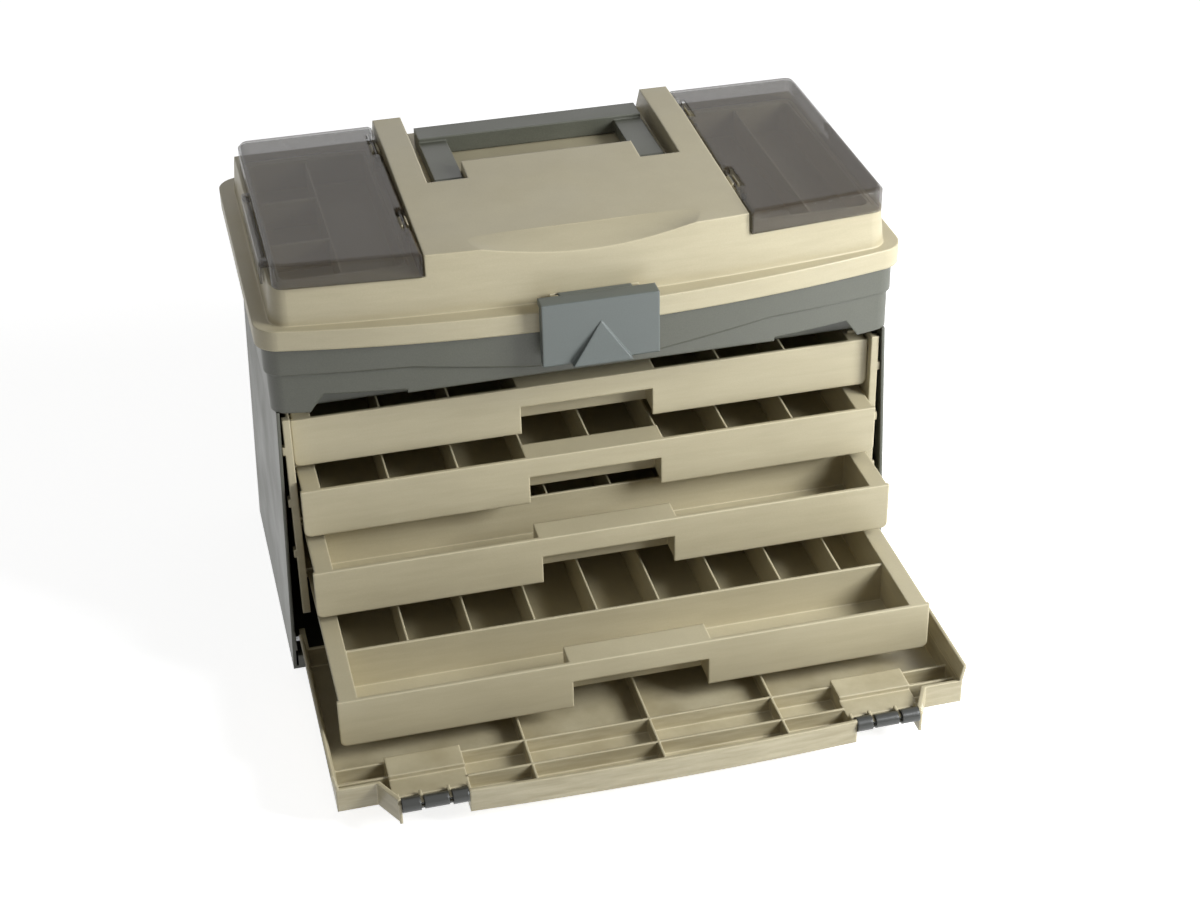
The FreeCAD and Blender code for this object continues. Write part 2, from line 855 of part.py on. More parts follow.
def slope_back(part):
    """Slope the back of the lid down from its top edge to the rim."""
    drawing = sketch(part, "YZ_Plane", d.rim_half)
    outline(drawing, [
        (d.lid_back_top, d.lid_top), (d.lid_back, d.rim_top),
        (d.lid_back + d.overrun, d.rim_top), (d.lid_back + d.overrun, d.lid_top + d.overrun),
        (d.lid_back_top, d.lid_top + d.overrun),
    ])
    pocket(part, drawing, 2 * d.rim_half)


def brow_at(place):
    """How high the sloping top between the covers is at one place from front to back."""
    run = (d.lid_top - d.brow_end) / (d.ridge_back + d.lid_front)
    return d.brow_end + (place + d.lid_front) * run


def cut_brow(part):
    """Slope the top between the covers down to the front, and dish its front edge."""
    high = d.lid_top + d.overrun
    front = -d.lid_front - d.overrun
    side = d.ridge_outer + d.gap
    drawing = sketch(part, "YZ_Plane", side)
    outline(drawing, [
        (front, d.brow_end), (-d.lid_front, d.brow_end), (d.ridge_back, d.lid_top),
        (d.ridge_back, high), (front, high),
    ])
    pocket(part, drawing, 2 * side)
    sections = []
    for lift, half, low in ((d.lid_front, d.brow_half, d.brow_low),
                            (d.brow_back, d.brow_back_half, brow_at(-d.brow_back) - d.gap)):
        drawing = sketch(part, "XZ_Plane", lift)
        top = brow_at(-lift) + d.gap
        outline(drawing, [(half, top, low - top), (-half, top)])
        sections.append(drawing)
    feature = part.newObject("PartDesign::SubtractiveLoft", part.Label + "_dish")
    feature.Profile = sections[0]
    feature.Sections = sections[1:]


def cut_handle_well(part):
    """Two slots for the legs of the handle and an open trough for its grip."""
    drawing = sketch(part, "XY_Plane", d.lid_top + d.overrun)
    back = d.rim_back
    outline(drawing, [
        (-d.ridge_inner, -d.slot_front), (-d.slot_inner, -d.slot_front),
        (-d.slot_inner, d.plateau_back), (d.slot_inner, d.plateau_back),
        (d.slot_inner, -d.slot_front), (d.ridge_inner, -d.slot_front),
        (d.ridge_inner, back), (-d.ridge_inner, back),
    ])
    pocket(part, drawing, d.lid_top + d.overrun - d.slot_floor)


def hollow_lid(part):
    """Hollow the lid from below, leaving its walls."""
    wall = d.lid_wall
    under = d.rim_top - wall
    well(part, cut_corners(inset_bow(wall)), d.rim_bottom, under)
    inset = 2 * wall
    middle = (under + d.lid_deck) / 2
    for low, high in ((under, middle), (middle, d.lid_deck - wall)):
        plan = bow(d.lid_half - inset, d.lid_front_side - inset, d.lid_front - inset,
                   slope_at(high) - inset, d.lid_corner - inset)
        well(part, cut_corners(plan), low, high)
    low = d.lid_deck - 2 * wall
    side = d.ridge_outer - wall
    high = brow_at(-d.brow_back) - d.gap - wall
    hollows(part, [(-side, side, wall - d.brow_back, -d.slot_front - wall)], low, high)
    hollows(part, [(wall - d.slot_inner, d.slot_inner - wall, -d.slot_front - wall,
                    d.plateau_back - wall)], low, high)
    hollows(part, both_sides(d.ridge_inner + wall, side, -d.slot_front - wall, d.lid_back_top - wall),
            low, brow_at(-d.slot_front - wall) - wall)


def cover_posts(part):
    """Posts on the lid with an open seat for the pin moulded on each cover."""
    low = d.cover_axis - d.cover_boss
    high = d.cover_axis + d.cover_boss
    for middle in (d.cover_gap_back, -d.cover_gap_front):
        start = middle - d.post_long / 2
        end = middle + d.post_long / 2
        blocks(part, both_sides(low, high, start, end), d.lid_deck - d.lid_wall, d.cover_axis_high)
        for side in (1, -1):
            centre = d.cover_axis * side
            dowels(part, [(centre, d.cover_axis_high, d.cover_boss)], start, end)
        seat = d.cover_pin + d.pin_gap
        slots(part, both_sides(d.cover_axis - seat, d.cover_axis + seat,
                               d.cover_axis_high - seat, d.cover_axis_high + 2 * d.cover_boss),
              start, end)


def latch_ears(part):
    """Two ears on the front ledge with open seats for the pin ends of the latch."""
    low = d.latch_boss_half + d.gap
    high = low + d.latch_ear_wide
    front = -d.latch_axis_front - d.latch_boss
    blocks(part, both_sides(low, high, front, -d.latch_axis_front + d.latch_boss),
           d.rim_top - d.lid_wall, d.latch_axis_high)
    for start, end in mirrored(low, high):
        rods(part, [(-d.latch_axis_front, d.latch_axis_high, d.latch_boss)], start, end)
    seat = d.latch_pin + d.pin_gap
    hollows(part, both_sides(low, high, -d.latch_axis_front - seat, seat - d.latch_axis_front),
            d.latch_axis_high - seat, d.latch_axis_high + 2 * d.latch_boss)


def well_tray(label, side):
    """A tray that hangs under the lid's deck by its flange."""
    part = body(label)
    box = (d.well_inner, d.well_outer, -d.well_front, d.well_back)
    top = d.lid_deck - d.gap
    flange_top = d.lid_deck - d.lid_wall
    grown = (box[0] - d.well_flange, box[1] + d.well_flange,
             box[2] - d.well_flange, box[3] + d.well_flange)
    blocks(part, [sided(box, side)], d.well_floor, top)
    plate(part, cut_corners(rounded_box(*sided(grown, side), d.well_corner + d.well_flange)),
          flange_top - d.well_wall - d.gap, flange_top - d.gap)
    wall = d.well_wall
    inside = (box[0] + wall, box[1] - wall, box[2] + wall, box[3] - wall)
    well(part, rounded_box(*sided(inside, side), d.well_corner - wall), d.well_floor + wall, top)


def well_dividers(label, side):
    """The upright walls that part one well into its cells."""
    part = body(label)
    half = d.well_divider / 2
    low = d.well_outer - d.well_wall - d.gap
    back = d.well_back - d.well_wall - d.gap
    front = d.gap + d.well_wall - d.well_front
    split = d.well_split
    walls = [(split - half, split + half, front, back)]
    if side < 0:
        for place in (d.left_well_step_back, -d.left_well_step_front):
            walls.append((split + half + d.gap, low, place - half, place + half))
    blocks(part, [sided(item, side) for item in walls], d.well_floor + d.well_wall,
           d.lid_deck - d.lid_wall)


def cover(label, side):
    part = body(label)
    inner = d.cover_inner * side
    outer = d.cover_outer * side
    plate(part, [(inner, d.cover_back), (outer, d.cover_back), (outer, -d.cover_front_outer),
                 (inner, -d.cover_front_inner)], d.cover_bottom, d.cover_top)
    middle = (d.cover_inner.number + d.cover_outer.number) / 2
    round_edges(part, d.cover_corner,
                lambda edge: upright(edge) and abs(edge.CenterOfMass.x) > middle)
    shell(part, d.cover_wall, lambda face: face.BoundBox.ZMax < d.cover_bottom.number + d.gap.number)
    bevel_edges(part, d.cover_edge_bevel,
                lambda edge: edge.BoundBox.ZMin > d.cover_top.number - d.gap.number)
    for centre, reach in cover_gaps():
        box = (d.cover_inner - d.overrun, d.cover_axis + d.cover_boss + 4 * d.gap,
               centre - reach, centre + reach)
        hollows(part, [sided(box, side)], d.cover_bottom - d.overrun, d.cover_top + d.overrun)
        axis = (d.cover_axis * side, d.cover_axis_high)
        for start, end in ((centre + reach, centre + reach + d.cover_boss_long),
                           (centre - reach - d.cover_boss_long, centre - reach)):
            dowels(part, [(*axis, d.cover_boss)], start, end)
        dowels(part, [(*axis, d.cover_pin)], centre - reach, centre + reach)
    clip_ears(part, side)


def cover_gaps():
    """The middle of each gap in a cover's hinged edge, and half its length."""
    return ((d.cover_gap_back, d.cover_gap_long / 2), (-d.cover_gap_front, d.cover_gap_long / 2))


def clip_ears(part, side):
    """Ears on the outer edge of a cover with open seats for the pin ends of its clip."""
    for start, end in ((d.clip_back + d.gap, d.clip_back + d.gap + d.clip_ear_long),
                       (-d.clip_front - d.gap - d.clip_ear_long, -d.clip_front - d.gap)):
        box = (d.cover_outer - d.cover_wall / 2, d.clip_axis,
               d.clip_axis_high - d.clip_boss, d.clip_axis_high + d.clip_boss)
        bars(part, [sided(box, side)], start, end)
        axis = (d.clip_axis * side, d.clip_axis_high)
        dowels(part, [(*axis, d.clip_boss)], start, end)
        seat = d.clip_pin + d.pin_gap
        box = (d.clip_axis - seat, d.clip_axis + 2 * d.clip_boss,
               d.clip_axis_high - seat, d.clip_axis_high + seat)
        slots(part, [sided(box, side)], start, end)


def cover_clip(label, side):
    """A flap with its pin ends moulded on, hanging beside the lid."""
    part = body(label)
    axis = (d.clip_axis * side, d.clip_axis_high)
    dowels(part, [(*axis, d.clip_boss)], -d.clip_front, d.clip_back)
    outer = d.clip_axis + d.clip_boss
    box = (outer - d.clip_wall, outer, d.clip_bottom, d.clip_axis_high)
    bars(part, [sided(box, side)], -d.clip_front, d.clip_back)
    reach = d.clip_ear_long + d.gap
    dowels(part, [(*axis, d.clip_pin)], -d.clip_front - reach, d.clip_back + reach)


def carry_handle():
    part = body("carry_handle")
    high = d.handle_half
    low = high - d.handle_leg_wide
    grip = (d.handle_grip_front, d.handle_grip_back, d.handle_grip_bottom, d.handle_grip_top)
    drawing = sketch(part, "YZ_Plane", -high)
    rectangle(drawing, *grip)
    pad(part, drawing, 2 * high)
    middle = (grip[0] + grip[1]) / 2
    for start, end in mirrored(low, high):
        rods(part, [(-d.handle_pivot_front, d.handle_pivot_high, d.handle_boss)], start, end)
        blocks(part, [(start, end, -d.handle_pivot_front, middle)],
               d.handle_leg_bottom, d.handle_leg_top)
    reach = d.ridge_inner + d.handle_pin_reach
    for start, end in mirrored(high, reach):
        rods(part, [(-d.handle_pivot_front, d.handle_pivot_high, d.handle_pin)], start, end)


def lid_latch():
    part = body("lid_latch")
    half = d.latch_half
    front = -d.latch_front
    back = front + d.latch_wall
    arm_back = -d.latch_axis_front - d.latch_boss - d.gap
    blocks(part, [(-half, half, front, back)], d.latch_bottom, d.latch_top)
    arm_bottom = d.latch_axis_high + d.gap
    blocks(part, [(-half, half, front, arm_back)], arm_bottom, d.latch_top)
    boss_half = d.latch_boss_half
    boss_top = d.latch_axis_high + d.latch_boss
    blocks(part, [(-boss_half, boss_half, arm_back, -d.latch_axis_front)], arm_bottom, boss_top)
    rods(part, [(-d.latch_axis_front, d.latch_axis_high, d.latch_boss)], -boss_half, boss_half)
    reach = boss_half + d.gap + d.latch_ear_wide
    for start, end in mirrored(boss_half, reach):
        rods(part, [(-d.latch_axis_front, d.latch_axis_high, d.latch_pin)], start, end)
    cheek_back = -d.rim_front - 4 * d.gap
    blocks(part, both_sides(half - d.latch_wall / 2, half, back, cheek_back),
           d.latch_bottom, arm_bottom)
    ramp_top = d.latch_bottom + d.latch_ramp_high
    ramp = sketch(part, "XZ_Plane", -back)
    outline(ramp, [(-d.latch_ramp_half, d.latch_bottom), (d.latch_ramp_half, d.latch_bottom),
                   (d.gap, ramp_top), (-d.gap, ramp_top)])
    pad(part, ramp, d.latch_wall + d.latch_ramp_out)
    side = d.latch_ramp_half + d.gap
    slope = sketch(part, "YZ_Plane", side)
    outline(slope, [(front - d.latch_ramp_out, d.latch_bottom), (front - d.gap, ramp_top),
                    (front - d.gap, ramp_top + d.gap),
                    (front - d.latch_ramp_out - d.gap, ramp_top + d.gap),
                    (front - d.latch_ramp_out - d.gap, d.latch_bottom)])
    pocket(part, slope, 2 * side)


def lid_hinge_pins():
    part = body("lid_hinge_pins")
    low = d.hinge_middle - d.hinge_lid_knuckle / 2
    high = d.hinge_middle + d.hinge_lid_knuckle / 2 + d.gap + d.hinge_bin_knuckle
    for start, end in mirrored(low, high):
        rods(part, [(d.hinge_axis_back, d.hinge_axis_high, d.hinge_pin)], start, end)


def door_plan(inset):
    """The plan outline of the door, drawn in by the inset."""
    half = d.door_half - inset
    shoulder = d.door_shoulder_half - inset
    corner = d.door_corner_half - inset
    back = -d.door_back - inset
    corner_front = inset - d.door_corner_front
    side_front = inset - d.door_edge_side
    return [
        (half, back), (-half, back), (-half, corner_front), (-corner, corner_front),
        (-shoulder, side_front), (shoulder, side_front, -(d.door_edge - d.door_edge_side)),
        (corner, corner_front), (half, corner_front),
    ]


def door_panel():
    part = body("door_panel")
    skin_top = d.door_skin_bottom + d.door_skin
    wall = d.door_wall
    plate(part, door_plan(ZERO), d.door_skin_bottom, skin_top)
    plate(part, [door_plan(ZERO), door_plan(wall)], d.door_skin_bottom, d.door_lip_top)
    rib = d.door_rib / 2
    ribs = [(d.door_rib_pitch * place - rib, d.door_rib_pitch * place + rib,
             wall / 2 - d.door_edge_side, -d.door_back - wall / 2) for place in (-1, 0, 1)]
    blocks(part, ribs, skin_top, d.door_rib_top)
    cross_ribs(part, skin_top, rib)
    blocks(part, both_sides(d.door_bump_inner, d.door_bump_outer,
                            -d.door_bump_front, -d.door_bump_back), skin_top, d.door_bump_top)
    latch_shelf(part)
    door_arms(part)


def cross_ribs(part, skin_top, rib):
    """Two ribs between the latch bumps, and two short ones outside each bump."""
    for middle in (-d.door_rib_back, -d.door_rib_front):
        blocks(part, [(-d.door_bump_inner, d.door_bump_inner, middle - rib, middle + rib)],
               skin_top, d.door_rib_top)
    for middle in (-d.door_side_rib, -d.door_side_rib - d.door_side_rib_gap):
        blocks(part, both_sides(d.door_bump_outer - rib, d.door_half - d.door_wall / 2,
                                middle - rib, middle + rib), skin_top, d.door_rib_top)


def door_flange(label, side):
    """The tall part of one side flange of the door, which leans out a little."""
    part = body(label)
    lean = d.door_half_top - d.door_half
    drawing = sketch(part, "XZ_Plane", d.door_corner_front)
    outline(drawing, [
        ((d.door_half - d.door_wall) * side, d.door_lip_top),
        (d.door_half * side, d.door_lip_top),
        ((d.door_half + lean) * side, d.door_flange_top),
        ((d.door_half + lean - d.door_wall) * side, d.door_flange_top),
    ])
    pad(part, drawing, d.door_corner_front - d.door_back, reverse=True)


def latch_shelf(part):
    """The recess of each latch under the door, and the ribs with open seats for its rod."""
    inner = d.door_bump_inner
    outer = d.door_bump_outer
    front = -d.door_edge - d.overrun
    low = d.door_latch_inner - d.gap
    high = d.door_latch_outer + d.gap
    under = d.door_latch_axis_high - d.door_latch_boss + d.door_latch_plate + d.gap
    blocks(part, both_sides(inner, outer, -d.door_notch_back, -d.door_bump_front),
           d.door_skin_bottom, under + d.door_skin)
    hollows(part, both_sides(low, high, front, d.gap - d.door_latch_plate_back),
            d.door_skin_bottom - d.overrun, under)
    hollows(part, both_sides(low, high, d.door_wall - d.door_bump_front,
                             d.gap - d.door_latch_plate_back),
            under - d.gap, d.door_bump_top - d.door_skin)
    hollows(part, both_sides(low, high, front, -d.door_notch_back),
            under - d.gap, d.door_lip_top + d.overrun)
    axis = (-d.door_latch_axis_front, d.door_latch_axis_high)
    for start in (low - d.door_bracket, high):
        blocks(part, both_sides(start, start + d.door_bracket, axis[0] - d.door_latch_nose,
                                d.gap - d.door_notch_back),
               d.door_skin_bottom, axis[1] + d.door_latch_nose)
    for start in middle_ribs():
        for left, right in mirrored(start, start + d.door_bracket):
            rods(part, [(*axis, d.door_latch_nose)], left, right)
            blocks(part, [(left, right, axis[0], d.gap - d.door_notch_back)],
                   axis[1] - d.door_latch_nose, axis[1] + d.door_latch_nose)
            slot_half = d.door_latch_rod + d.pin_gap
            hollows(part, [(left, right, front, axis[0] + slot_half)],
                    axis[1] - slot_half, axis[1] + slot_half)


def middle_ribs():
    """Where the two ribs between the knuckles of a latch begin."""
    return (d.door_latch_inner + d.door_latch_boss_inner + d.gap,
            d.door_latch_outer - d.door_latch_boss_outer - d.gap - d.door_bracket)


def door_arms(part):
    """The two arms behind the panel, with open seats for the pivot pins."""
    high = d.door_half
    low = high - d.door_arm_wide
    axis = (-d.door_pivot_front, d.door_pivot_high)
    for start, end in mirrored(low, high):
        rods(part, [(*axis, d.door_arm_round)], start, end)
        blocks(part, [(start, end, -d.door_back - d.door_wall, axis[0])],
               axis[1] - d.door_arm_round, axis[1] + d.door_arm_round)
        seat = d.door_pin + d.pin_gap
        hollows(part, [(start, end, axis[0] - seat, axis[0] + d.door_arm_round + d.gap)],
                axis[1] - seat, axis[1] + seat)


def door_pivot_pins():
    part = body("door_pivot_pins")
    low = d.door_half - d.door_arm_wide
    high = d.pin_track_half + d.pin_track_depth - d.gap / 2
    for start, end in mirrored(low, high):
        rods(part, [(-d.door_pivot_front, d.door_pivot_high, d.door_pin)], start, end)


def door_latch(label, side):
    """A latch folded back under the door: a rod with three knuckles and a plate."""
    part = body(label)
    inner = d.door_latch_inner
    outer = d.door_latch_outer
    axis = (-d.door_latch_axis_front, d.door_latch_axis_high)
    ribs = middle_ribs()
    after = d.door_bracket + d.gap
    for rib in ribs:
        start, end = sided((rib - d.gap, rib + after), side)
        rods(part, [(*axis, d.door_latch_rod)], start, end)
    for low, high, boss in ((inner, inner + d.door_latch_boss_inner, d.door_latch_boss),
                            (ribs[0] + after, ribs[1] - d.gap, d.door_latch_boss_middle),
                            (outer - d.door_latch_boss_outer, outer, d.door_latch_boss)):
        start, end = sided((low, high), side)
        rods(part, [(*axis, boss)], start, end)
    bottom = axis[1] - d.door_latch_boss
    plate_top = bottom + d.door_latch_plate
    back = -d.door_latch_plate_back
    blocks(part, [sided((inner, outer, axis[0], back), side)], bottom, plate_top)
    hook = d.door_latch_plate * 1.5
    blocks(part, [sided((inner, outer, back - hook, back), side)], plate_top, plate_top + hook)


case_shell()
runner_panel("runner_panel_left", -1)
runner_panel("runner_panel_right", 1)
upper_bin()
lid_hinge_pins()
lid_shell()
well_tray("left_well_tray", -1)
well_tray("right_well_tray", 1)
well_dividers("left_well_dividers", -1)
well_dividers("right_well_divider", 1)
cover("left_cover", -1)
cover("right_cover", 1)
cover_clip("left_cover_clip", -1)
cover_clip("right_cover_clip", 1)
carry_handle()
lid_latch()
for number in DRAWERS:
    drawer_tray(number)
    drawer_dividers(number)
door_panel()
door_flange("door_flange_left", -1)
door_flange("door_flange_right", 1)
door_pivot_pins()
door_latch("door_latch_left", -1)
door_latch("door_latch_right", 1)

# Check every object and write each sub-part
doc.recompute()
faults = [item.Label for item in doc.Objects if "Invalid" in item.State or "Error" in item.State]
for part in NODES:
    if part.Shape.isNull() or not part.Shape.isValid() or part.Shape.Volume <= 0:
        faults.append(part.Label + " shape")
if faults:
    raise RuntimeError("Not built: " + ", ".join(faults))
os.makedirs("parts", exist_ok=True)
for part in NODES:
    part.Shape.exportStep(f"parts/{part.Label}.step")
    box = part.Shape.BoundBox
    print(part.Label, len(part.Shape.Solids), "solids", round(part.Shape.Volume), "mm3",
          [round(value, 1) for value in (box.XMin, box.YMin, box.ZMin, box.XMax, box.YMax, box.ZMax)])
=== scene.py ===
"""Finishes, floor, light and camera for a four-drawer fishing tackle cabinet."""

import math

import bpy
from bpy.props import FloatProperty, FloatVectorProperty, PointerProperty
from mathutils import Matrix, Vector


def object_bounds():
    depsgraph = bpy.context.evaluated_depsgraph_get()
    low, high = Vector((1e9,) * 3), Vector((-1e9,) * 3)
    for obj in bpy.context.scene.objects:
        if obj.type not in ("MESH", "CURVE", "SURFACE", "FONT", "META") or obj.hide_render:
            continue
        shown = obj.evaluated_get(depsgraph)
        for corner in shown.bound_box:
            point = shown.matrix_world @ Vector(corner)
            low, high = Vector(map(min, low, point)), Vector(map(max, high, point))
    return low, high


bl_info = {
    "name": "Tackle cabinet",
    "version": (1, 0, 0),
    "blender": (4, 5, 0),
    "location": "View3D > Sidebar > Tackle cabinet",
    "description": "Finishes a four-drawer tackle cabinet and sets it on a studio floor",
    "category": "Object",
}

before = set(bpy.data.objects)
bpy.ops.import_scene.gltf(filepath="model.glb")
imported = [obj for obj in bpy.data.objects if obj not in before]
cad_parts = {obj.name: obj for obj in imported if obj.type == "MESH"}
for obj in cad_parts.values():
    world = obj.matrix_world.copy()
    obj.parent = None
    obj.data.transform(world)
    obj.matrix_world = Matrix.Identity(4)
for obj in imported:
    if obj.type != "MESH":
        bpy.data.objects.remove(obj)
cad_box = [list(corner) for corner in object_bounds()]

DRAWERS = (1, 2, 3, 4)
MILLIMETRE = 0.001

# The colour sockets of a Mix node share their names with others, so they go by number.
MIX_A, MIX_B, MIX_RESULT = 6, 7, 2

# How finely a shader's rounded edge is worked out.
EDGE_SAMPLES = 6

POLYPROPYLENE_IOR = 1.49
STYRENE_IOR = 1.58

# One repeat of each pattern, in millimetres.
MELT_CLOUD = 70
MELT_STREAK = 6
SHEET_RIPPLE = 60
PLATING_LUSTRE = 1.5
PAPER_CLOUD = 300

# The melt flows level, and draws its streaks out to about eight times their height.
STREAK_STRETCH = (0.12, 0.12, 1)

# The depth of the covers' ripple, and of the gap from the floor to the case, in millimetres.
RIPPLE_DEPTH = 0.4
FLOOR_DROP = 0.2

# Half of the floor's side, in metres, and how white it shows to the camera.
FLOOR_HALF = 6.0
FLOOR_GLOW = 0.8

# The lamps are a very slightly cool white, and the camera's sensor is 36 mm wide.
LAMP_WHITE = "#F9FCFF"
SENSOR_WIDTH = 36


# Colours and node graphs

def linear(hex_colour):
    """An sRGB hex colour such as "#C8BEA5" as linear red, green, blue and alpha."""
    channels = [int(hex_colour[i : i + 2], 16) / 255 for i in (1, 3, 5)]
    bent = [c / 12.92 if c <= 0.04045 else ((c + 0.055) / 1.055) ** 2.4 for c in channels]
    return (*bent, 1.0)


def colour_property(name, description, hex_colour):
    """A colour swatch whose default is an sRGB hex colour."""
    return FloatVectorProperty(
        name=name,
        description=description,
        subtype="COLOR",
        size=4,
        min=0,
        max=1,
        default=linear(hex_colour),
    )


def length_property(name, description, millimetres):
    """A length in the scene's metres, given in millimetres."""
    return FloatProperty(
        name=name,
        description=description,
        subtype="DISTANCE",
        unit="LENGTH",
        precision=5,
        min=0,
        default=millimetres * MILLIMETRE,
    )


def place_property(name, description, place):
    """A place in the scene's metres."""
    return FloatVectorProperty(
        name=name,
        description=description,
        subtype="TRANSLATION",
        unit="LENGTH",
        default=place,
    )


def angle_property(name, description, degrees):
    """An angle, given in degrees."""
    return FloatProperty(
        name=name,
        description=description,
        subtype="ANGLE",
        unit="ROTATION",
        default=math.radians(degrees),
    )


def power_property(name, description, watts):
    """A lamp's power in watts."""
    return FloatProperty(
        name=name,
        description=description,
        subtype="POWER",
        default=watts,
    )


def add(tree, kind, settings=None, links=None):
    """Adds a node. Settings name its attributes or sockets; links name a socket and its source.

    A socket that shares its name with others goes by its number.
    """
    node = tree.nodes.new(kind)
    for name, value in (settings or {}).items():
        if isinstance(name, int) or name in node.inputs.keys():
            node.inputs[name].default_value = value
        else:
            setattr(node, name, value)
    for name, source in (links or {}).items():
        tree.links.new(source, node.inputs[name])
    return node


def shaded(colour, factor, warmth=0.0):
    """A darker or lighter part of one material's colour. Warmth lowers the blue a little more."""
    bent = (factor, factor * (1 - warmth / 3), factor * (1 - warmth))
    return (*(min(1.0, c * f) for c, f in zip(colour[:3], bent)), 1.0)


def per_metre(millimetres):
    """A pattern's scale, in repeats per metre, from the real size of one repeat."""
    return 1 / (millimetres * MILLIMETRE)


def start_material(name):
    """An empty material with a Principled shader on its output, its tree and that shader."""
    material = bpy.data.materials.new(name)
    material.use_nodes = True
    tree = material.node_tree
    tree.nodes.clear()
    shader = tree.nodes.new("ShaderNodeBsdfPrincipled")
    output = tree.nodes.new("ShaderNodeOutputMaterial")
    tree.links.new(shader.outputs[0], output.inputs["Surface"])
    return material, tree, shader


def moulded_polypropylene(name, colour, roughness, streaks, mottle, wear):
    """Injection-moulded polypropylene with a spark-eroded tool finish.

    The eye gets a soft, waxy sheen broken by an even fine grain, long faint streaks and clouds
    where the melt flowed, and a paler painted highlight along the edges. Streaks, mottle and the
    painted edge highlight run from 0 for none to 1.
    """
    finish = bpy.context.scene.tackle_cabinet_finish
    material, tree, shader = start_material(name)
    shader.inputs["IOR"].default_value = POLYPROPYLENE_IOR
    shader.inputs["Specular IOR Level"].default_value = 0.7
    place = add(tree, "ShaderNodeTexCoord").outputs["Object"]

    cloud = add(
        tree,
        "ShaderNodeTexNoise",
        {"Scale": per_metre(MELT_CLOUD), "Detail": 3, "Roughness": 0.55},
        {"Vector": place},
    )
    stretched = add(tree, "ShaderNodeMapping", {"Scale": STREAK_STRETCH}, {"Vector": place})
    flow = add(
        tree,
        "ShaderNodeTexNoise",
        {"Scale": per_metre(MELT_STREAK), "Detail": 4, "Roughness": 0.6},
        {"Vector": stretched.outputs[0]},
    )
    # The real grain is about 0.4 mm, and is drawn coarser so that it shows at this distance.
    speck = add(
        tree,
        "ShaderNodeTexNoise",
        {"Scale": 1 / finish.grain, "Detail": 2, "Roughness": 0.7},
        {"Vector": place},
    )

    base = add(
        tree,
        "ShaderNodeMix",
        {"data_type": "RGBA", MIX_A: shaded(colour, 0.93), MIX_B: shaded(colour, 1.05)},
        {"Factor": cloud.outputs["Fac"]},
    )
    speck_range = add(
        tree,
        "ShaderNodeMapRange",
        {"From Min": 0.62, "From Max": 0.38, "To Min": 0.0, "To Max": mottle},
        {"Value": speck.outputs["Fac"]},
    )
    mottled = add(
        tree,
        "ShaderNodeMix",
        {"data_type": "RGBA", MIX_B: shaded(colour, 0.6)},
        {"Factor": speck_range.outputs[0], MIX_A: base.outputs[MIX_RESULT]},
    )
    flow_range = add(
        tree,
        "ShaderNodeMapRange",
        {"From Min": 0.35, "From Max": 0.65, "To Min": 0.0, "To Max": streaks},
        {"Value": flow.outputs["Fac"]},
    )
    flowed = add(
        tree,
        "ShaderNodeMix",
        {"data_type": "RGBA", MIX_B: shaded(colour, 0.7, warmth=0.12)},
        {"Factor": flow_range.outputs[0], MIX_A: mottled.outputs[MIX_RESULT]},
    )

    edge = add(tree, "ShaderNodeBevel", {"samples": EDGE_SAMPLES, "Radius": finish.edge})
    speck_bump = add(
        tree,
        "ShaderNodeBump",
        {"Strength": 0.35, "Distance": finish.grain_depth},
        {"Height": speck.outputs["Fac"], "Normal": edge.outputs[0]},
    )
    rough = add(
        tree,
        "ShaderNodeMapRange",
        {"From Min": 0.3, "From Max": 0.7, "To Min": roughness - 0.06, "To Max": roughness + 0.08},
        {"Value": cloud.outputs["Fac"]},
    )
    tree.links.new(rough.outputs[0], shader.inputs["Roughness"])
    tree.links.new(speck_bump.outputs[0], shader.inputs["Normal"])

    # An edge is where the rounded normal turns away from the face's own.
    geometry = add(tree, "ShaderNodeNewGeometry")
    flatness = add(
        tree,
        "ShaderNodeVectorMath",
        {"operation": "DOT_PRODUCT"},
        {0: edge.outputs[0], 1: geometry.outputs["True Normal"]},
    )
    # Along the edges a lighter copy of the colour is mixed in as a painted highlight.
    painted_highlight_mask = add(
        tree,
        "ShaderNodeMapRange",
        {"From Min": 0.995, "From Max": 0.85, "To Min": 0.0, "To Max": wear},
        {"Value": flatness.outputs["Value"]},
    )
    painted_highlight_mix = add(
        tree,
        "ShaderNodeMix",
        {"data_type": "RGBA", MIX_B: shaded(colour, 1.35)},
        {"Factor": painted_highlight_mask.outputs[0], MIX_A: flowed.outputs[MIX_RESULT]},
    )
    tree.links.new(painted_highlight_mix.outputs[MIX_RESULT], shader.inputs["Base Color"])
    return material


